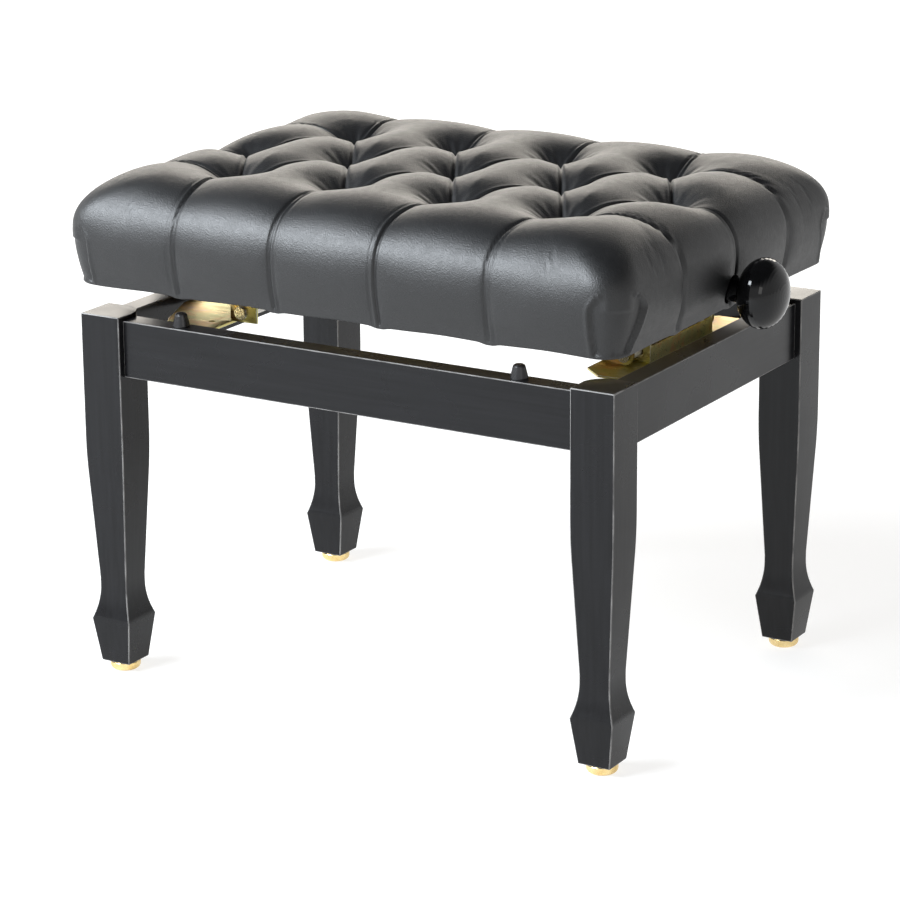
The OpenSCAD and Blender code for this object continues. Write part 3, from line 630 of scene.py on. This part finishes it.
def tufting(points):
    """How far the leather lies below the smooth shell: dimples, quilting and valleys."""
    dimples = np.zeros(len(points))
    for x, y in BUTTONS:
        r = np.linalg.norm(points - np.array([x, y, CREST_Z]), axis=1)
        dimples = np.maximum(dimples, TUFT_DEPTH * np.clip(1 - r / TUFT_R, 0, 1) ** TUFT_POWER)
    valleys = np.zeros(len(points))
    for start, end in diamond_edges():
        distance, _, _ = segment_distance(points, start, end)
        valleys = np.maximum(valleys, DIAMOND_DEPTH * pillow(distance, DIAMOND_W))
    for pleat in pleats():
        distance, _, path = pleat_distance(points, pleat)
        depth = np.interp(path, PLEAT_PATH, PLEAT_DEPTHS)
        valleys = np.maximum(valleys, depth * pillow(distance, PLEAT_W))
    return np.minimum(dimples + valleys * (1 - dimples / TUFT_DEPTH), TUFT_DEPTH)


def seam_nearness(points, width):
    """1 on a crease or pleat, falling to 0 at width from it."""
    nearest = np.full(len(points), 1.0)
    for start, end in diamond_edges():
        nearest = np.minimum(nearest, segment_distance(points, start, end)[0])
    for pleat in pleats():
        nearest = np.minimum(nearest, pleat_distance(points, pleat)[0])
    return np.clip(1 - nearest / width, 0, 1)


def stripe(offset, middle, width):
    """A soft stripe: 1 at middle, fading on both sides."""
    return np.exp(-((offset - middle) / width) ** 2)


def creases(points):
    """The fine line of every crease and pleat, with the lip of leather folded beside it."""
    out = np.zeros(len(points))
    for number, (start, end) in enumerate(diamond_edges()):
        distance, side, share = segment_distance(points, start, end)
        hand = 1 if number % 2 else -1
        line = DIAMOND_LINE * stripe(distance, 0.0, DIAMOND_LINE_W)
        lip = DIAMOND_LIP * stripe(distance * side * hand, 3.0 * MM, 1.8 * MM)
        ends = smooth(np.minimum(share, 1 - share) / 0.08) * 0.5 + 0.5
        out += (line - lip) * ends
    for number, pleat in enumerate(pleats()):
        distance, side, path = pleat_distance(points, pleat)
        hand = 1 if number % 2 else -1
        offset = distance * side * hand
        fade = np.interp(path, [-0.01, 0.0, 0.06, 0.15, 0.2], [0, 0.7, 1.0, 0.8, 0.9])
        line = PLEAT_LINE * stripe(distance, 0.0, PLEAT_LINE_W)
        second = SECOND_LINE * stripe(offset, 5.5 * MM, 1.3 * MM)
        lip = PLEAT_LIP * stripe(offset, 2.8 * MM, 1.6 * MM)
        out += (line + second - lip) * fade
    return out


def gathers(points):
    """Small wrinkles that fan out from each button."""
    out = np.zeros(len(points))
    for number, (x, y) in enumerate(BUTTONS):
        offset = points[:, :2] - np.array([x, y])
        r = np.hypot(offset[:, 0], offset[:, 1])
        turn = np.arctan2(offset[:, 1], offset[:, 0])
        count = 11 + 2 * (number % 3)
        wave = np.sin(count * turn + 1.7 * number) * np.sin(3 * turn + 2.3 * number)
        window = smooth((r - 8 * MM) / (8 * MM)) * (1 - smooth((r - 20 * MM) / (20 * MM)))
        out += GATHER_H * wave * window
    return out


def corner_folds(points):
    """The box pleat at each corner: a tongue tucked behind the two sides' leather."""
    radius = CORNER_WIDE_R
    x = np.abs(points[:, 0]) - (HALF_X - radius)
    y = np.abs(points[:, 1]) - (HALF_Y - radius)
    turn = np.arctan2(np.maximum(y, 0), np.maximum(x, 0)) - math.pi / 4
    along = radius * turn - np.minimum(x, 0) + np.minimum(y, 0)
    height = points[:, 2] - SEAT_Z
    short_w = np.interp(height, [0, FOLD_STRAIGHT_H], [FOLD_SHORT_LOW, FOLD_SHORT_HIGH])
    width = np.where(along > 0, FOLD_LONG, short_w)
    hook = np.clip((height - FOLD_STRAIGHT_H) / (FOLD_TOP_H - FOLD_STRAIGHT_H), 0, 1)
    edge = np.abs(along) - width * np.sqrt(1 - hook ** 2)
    share = np.abs(along) / width
    open_top = np.where(hook > 0, smooth((share - 0.3) / 0.35), 1.0) * (hook < 1)
    tucked = smooth((0.9 * MM - edge) / (1.8 * MM)) * (0.4 + 0.6 * np.minimum(share, 1) ** 2)
    lip = 0.25 * stripe(edge, 2.6 * MM, 1.8 * MM)
    pinch = 0.5 * stripe(along, 0.0, 1.6 * MM) * (1 - smooth(height / (15 * MM)))
    near = (np.abs(along) < 60 * MM) & (height < FOLD_TOP_H + 4 * MM)
    return FOLD_DEPTH * ((tucked - lip) * open_top + pinch) * near


def lower_edge(points):
    """Small lumps that the pleats make along the leather's lower edge, downwards."""
    out = np.zeros(len(points))
    for pleat in pleats():
        distance, _, _ = pleat_distance(points, pleat)
        facing = points[:, 1 - pleat[0]] * pleat[1] > 0.19
        out += LUMP_H * stripe(distance, 2 * MM, 6 * MM) * facing
    low = 1 - smooth((points[:, 2] - SEAT_Z) / (9 * MM))
    wave = 0.5 * MM * np.sin(points[:, 0] * 61 + 1.0) * np.sin(points[:, 1] * 47 + 2.0)
    return (out + wave) * low


# ---------------------------------------------------------------- the seat's pieces


def write_field(piece, name, values, kind="FLOAT"):
    field = piece.data.attributes.new(name, kind, "POINT")
    key = "vector" if kind == "FLOAT_VECTOR" else "value"
    field.data.foreach_set(key, np.ascontiguousarray(values, np.float32).ravel())


def read_field(piece, name, size=1):
    field = piece.data.attributes[name]
    out = np.empty(len(piece.data.vertices) * size, np.float32)
    field.data.foreach_get("vector" if size == 3 else "value", out)
    return out.reshape(-1, size).astype(float) if size == 3 else out.astype(float)


def inflate(piece, pin_weights, reach, frames=20):
    """Swells the piece by cloth simulation, moving no point further than reach."""
    start = co_of(piece)
    group = piece.vertex_groups.new(name="pin")
    for level in np.unique(np.round(pin_weights * 8)):
        if level > 0:
            chosen = np.nonzero(np.round(pin_weights * 8) == level)[0]
            group.add(chosen.tolist(), level / 8, "REPLACE")
    cloth = piece.modifiers.new("swell", "CLOTH")
    settings = cloth.settings
    settings.vertex_group_mass = "pin"
    settings.use_pressure = True
    settings.uniform_pressure_force = 150.0
    settings.tension_stiffness = settings.compression_stiffness = 5.0
    settings.bending_stiffness = 0.5
    settings.quality = 4
    settings.effector_weights.gravity = 0.0
    cloth.collision_settings.use_collision = False
    cloth.point_cache.frame_end = frames
    for number in range(1, frames + 1):
        bpy.context.scene.frame_set(number)
    bake_modifiers(piece)
    piece.vertex_groups.clear()
    move = co_of(piece) - start
    size = np.linalg.norm(move, axis=1, keepdims=True)
    set_co(piece, start + move * np.minimum(1.0, reach / np.maximum(size, 1e-9)))
    bpy.context.scene.frame_set(1)


def subdivide(piece):
    level = piece.modifiers.new("smooth", "SUBSURF")
    level.levels = level.render_levels = 1
    level.boundary_smooth = "ALL"
    bake_modifiers(piece)


def close_and_split(piece, ridge):
    """Closes the shell, and cuts the quads along a crease on the diagonal that follows it."""
    faces = []
    for polygon in piece.data.polygons:
        corners = list(polygon.vertices)
        if len(corners) == 4:
            a, b, c, d = corners
            lean = ridge[a] + ridge[c] - ridge[b] - ridge[d]
            if lean > 0.25:
                faces += [(a, b, c), (a, c, d)]
                continue
            if lean < -0.25:
                faces += [(a, b, d), (b, c, d)]
                continue
        faces.append(corners)
    mesh = bpy.data.meshes.new(piece.name)
    mesh.from_pydata(co_of(piece), [], faces)
    mesh.materials.append(piece.data.materials[0])
    bm = bmesh.new()
    bm.from_mesh(mesh)
    bmesh.ops.holes_fill(bm, edges=[edge for edge in bm.edges if edge.is_boundary])
    bm.to_mesh(mesh)
    bm.free()
    piece.data = mesh


def cut_knob_holes(piece):
    """The holes in the leather's ends that the knobs' necks turn in."""
    low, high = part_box("lead_screw")
    middle = (low + high) / 2
    along_x = (0.0, math.pi / 2, 0.0)
    bpy.ops.mesh.primitive_cylinder_add(
        vertices=64, radius=KNOB_HOLE_R, depth=1.0, location=middle, rotation=along_x)
    drill = bpy.context.object
    cut = piece.modifiers.new("knob_holes", "BOOLEAN")
    cut.operation = "DIFFERENCE"
    cut.solver = "MANIFOLD"
    cut.object = drill
    bake_modifiers(piece)
    bpy.data.objects.remove(drill)
    co = co_of(piece)
    off_axis = np.hypot(co[:, 1] - middle.y, co[:, 2] - middle.z)
    on_rim = np.abs(off_axis - KNOB_HOLE_R) < 0.05 * MM
    edges = piece.data.edges
    ends = np.empty(len(edges) * 2, dtype=np.int32)
    edges.foreach_get("vertices", ends)
    sharp = piece.data.attributes.new("sharp_edge", "BOOLEAN", "EDGE")
    sharp.data.foreach_set("value", on_rim[ends.reshape(-1, 2)].all(axis=1))


def is_outer(points):
    """True on the leather's outside, False on the skin that lies against the box."""
    beside_x = np.abs(points[:, 0]) > BOARD_HIGH.x + 1.5 * MM
    beside_y = np.abs(points[:, 1]) > BOARD_HIGH.y + 1.5 * MM
    above = points[:, 2] > FOAM_HIGH.z + 3 * MM
    return (points[:, 2] > SEAT_Z + 0.2 * MM) & (beside_x | beside_y | above)


def held_leather(points, outer, depth):
    """How firmly the swelling leather is held: at seams, lower edge, buttons and inside."""
    pins = np.maximum(seam_nearness(points, PIN_W), 1.0 - outer)
    pins = np.maximum(pins, 1 - smooth((points[:, 2] - SEAT_Z - 3 * MM) / (16 * MM)))
    return np.maximum(pins, smooth((depth - 18 * MM) / (6 * MM)))


def make_cushion():
    """The tufted leather over its padding: shell, tufts, swelling, then the fine folds."""
    points, faces = seat_shell()
    piece = new_piece("leather_cushion", points, faces, MATERIALS["black_leather"])
    outward = normals_of(piece)
    outer = is_outer(points)
    write_field(piece, "shell_place", points, "FLOAT_VECTOR")
    write_field(piece, "shell_outward", outward, "FLOAT_VECTOR")
    write_field(piece, "outer", outer.astype(float))
    depth = tufting(points) * outer
    set_co(piece, points - outward * depth[:, None])
    inflate(piece, held_leather(points, outer, depth), SWELL_REACH)
    subdivide(piece)
    place = read_field(piece, "shell_place", 3)
    outward = read_field(piece, "shell_outward", 3)
    outward /= np.linalg.norm(outward, axis=1, keepdims=True)
    outer = read_field(piece, "outer")
    fine = (creases(place) + gathers(place) + corner_folds(place)) * outer
    co = co_of(piece) - outward * fine[:, None]
    co[:, 2] -= lower_edge(place) * (np.abs(place[:, 0]) + np.abs(place[:, 1]) > 0.2)
    set_co(piece, co)
    close_and_split(piece, seam_nearness(place, RIDGE_W))
    piece.data.shade_smooth()
    cut_knob_holes(piece)
    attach(piece, "seat")
    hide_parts("cushion")
    return piece


def make_foam():
    """The firm foam slab under the padding, with its top edges rounded."""
    bm = plain_faces("foam_base")
    rim = [edge for edge in bm.edges if edge.calc_length() > FOAM_RIM_LENGTH
           and all(vert.co.z > FOAM_HIGH.z - MM for vert in edge.verts)]
    bmesh.ops.bevel(bm, geom=rim, offset=FOAM_RIM_R, segments=4, affect="EDGES", profile=0.5)
    piece = piece_from(bm, "foam_slab", MATERIALS["foam"])
    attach(piece, "seat")
    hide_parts("foam_base")
    return piece


def make_buttons():
    """Thirteen leather-covered buttons: a low dome over a rolled rim, with a pinched centre."""
    bottom = BUTTONS_LOW.z
    height = BUTTONS_HIGH.z - bottom
    outline = [(0.0, 0.0), (0.8, 0.0), (0.95, 0.1), (1.0, 0.3), (0.97, 0.5), (0.86, 0.72),
               (0.66, 0.9), (0.42, 0.985), (0.2, 0.99), (0.07, 0.95)]
    around = 28
    points, faces = [], []
    for x, y in BUTTONS:
        base = len(points)
        points.append((x, y, bottom))
        for share, rise in outline[1:]:
            for step in range(around):
                turn = 2 * math.pi * step / around
                pucker = 1 + 0.02 * math.cos(9 * turn) * share
                points.append((x + BUTTON_R * share * pucker * math.cos(turn) / 1.02,
                               y + BUTTON_R * share * pucker * math.sin(turn) / 1.02,
                               bottom + height * rise))
        top = len(points)
        points.append((x, y, bottom + height * 0.93))
        for step in range(around):
            after = (step + 1) % around
            faces.append((base, base + 1 + after, base + 1 + step))
            for ring in range(len(outline) - 2):
                low = base + 1 + ring * around
                faces.append((low + step, low + after, low + around + after, low + around + step))
            last = base + 1 + (len(outline) - 2) * around
            faces.append((last + step, last + after, top))
    piece = new_piece("leather_buttons", points, faces, MATERIALS["black_leather"])
    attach(piece, "seat")
    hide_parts("tuft_buttons")
    return piece


# ---------------------------------------------------------------- stage, lights and camera


FLOOR_GLOW_NEAR, FLOOR_GLOW_FAR = 0.74, 0.96    # at 0.6 m and at 2.4 m from the bench


def make_floor():
    """A wide sheet of pale studio paper that is lit through, so that shadows stay faint."""
    bpy.ops.mesh.primitive_plane_add(size=30.0, location=(0.0, 0.0, 0.0))
    floor = bpy.context.object
    floor.name = "studio_floor"
    s = Shader("studio_paper")
    s.put(s.ramp(s.noise(3.0), [(0.3, (0.33, 0.33, 0.328)), (0.7, (0.36, 0.36, 0.358))]),
          s.bsdf.inputs["Base Color"])
    away = s.add("ShaderNodeVectorMath", operation="LENGTH")
    s.put(s.place, away.inputs[0])
    glow = s.remap(away.outputs["Value"], 0.6, 2.4, FLOOR_GLOW_NEAR, FLOOR_GLOW_FAR)
    s.put(glow, s.bsdf.inputs["Emission Strength"])
    s.set(Roughness=0.9, Emission_Color=(1.0, 1.0, 1.0, 1.0))
    floor.data.materials.append(s.mat)


def area_light(name, place, target, size, watts, colour):
    light = bpy.data.lights.new(name, "AREA")
    light.shape = "RECTANGLE"
    light.size, light.size_y = size
    light.energy = watts
    light.color = colour
    lamp = bpy.data.objects.new(name, light)
    bpy.context.scene.collection.objects.link(lamp)
    lamp.location = place
    lamp.rotation_euler = (Vector(target) - Vector(place)).to_track_quat("-Z", "Y").to_euler()


WALL_LIGHT, CEILING_LIGHT = 0.85, 0.06    # the studio's pale walls and its dark ceiling


def make_world():
    """Pale walls up to about 20 degrees above the horizon, then a dark ceiling."""
    world = bpy.data.worlds.new("studio")
    world.use_nodes = True
    nodes, links = world.node_tree.nodes, world.node_tree.links
    height = nodes.new("ShaderNodeSeparateXYZ")
    links.new(nodes.new("ShaderNodeTexCoord").outputs["Generated"], height.inputs["Vector"])
    fade = nodes.new("ShaderNodeMapRange")
    fade.interpolation_type = "SMOOTHSTEP"
    for key, number in (("From Min", 0.34), ("From Max", 0.7),
                        ("To Min", WALL_LIGHT), ("To Max", CEILING_LIGHT)):
        fade.inputs[key].default_value = number
    links.new(height.outputs["Z"], fade.inputs["Value"])
    links.new(fade.outputs["Result"], nodes["Background"].inputs["Strength"])
    nodes["Background"].inputs["Color"].default_value = (1.0, 1.0, 1.0, 1.0)
    bpy.context.scene.world = world


def make_lights():
    """A cool softbox at the front left, a warm one behind, and a small lamp at the right."""
    seat = (0.0, 0.0, 0.4)
    area_light("front_softbox", (-1.3, -1.7, 1.85), seat, (2.2, 1.1), 205.0, (0.88, 0.94, 1.0))
    area_light("back_softbox", (-1.5, 2.7, 1.4), seat, (3.2, 1.0), 46.0, (1.0, 0.93, 0.82))
    area_light("right_lamp", (2.4, -1.6, 1.2), seat, (0.5, 0.9), 3.0, (1.0, 0.98, 0.94))
    make_world()
    bpy.context.scene.view_settings.view_transform = "Standard"


def make_camera():
    """Stands to the right of the bench's front, a little above it, with a long lens."""
    yaw, pitch, roll = 0.5431, 0.2688, -0.0077
    forward = Vector((-math.sin(yaw) * math.cos(pitch), math.cos(yaw) * math.cos(pitch), -math.sin(pitch)))
    level = Vector((math.cos(yaw), math.sin(yaw), 0.0))
    upright = level.cross(forward)
    right = math.cos(roll) * level + math.sin(roll) * upright
    up = math.cos(roll) * upright - math.sin(roll) * level
    data = bpy.data.cameras.new("camera")
    data.sensor_width = 36.0
    data.lens = 131.3
    data.shift_y = -0.1
    camera = bpy.data.objects.new("camera", data)
    bpy.context.scene.collection.objects.link(camera)
    camera.matrix_world = Matrix.Translation((1.5318, -2.5467, 1.1136)) @ Matrix(
        (right, up, -forward)).transposed().to_4x4()
    bpy.context.scene.camera = camera


WOOD_EDGE_R, PLATE_EDGE_R = 1.0 * MM, 0.5 * MM


def main():
    dress_cad_nodes()
    make_camera()
    make_lights()
    make_floor()
    for node, slot in SLOTS.items():
        if slot == "black_lacquer":
            eased(node, WOOD_EDGE_R)
        elif slot == "yellow_zinc_steel":
            eased(node, PLATE_EDGE_R, angle=40.0)
    make_cushion()
    make_foam()
    make_buttons()


main()
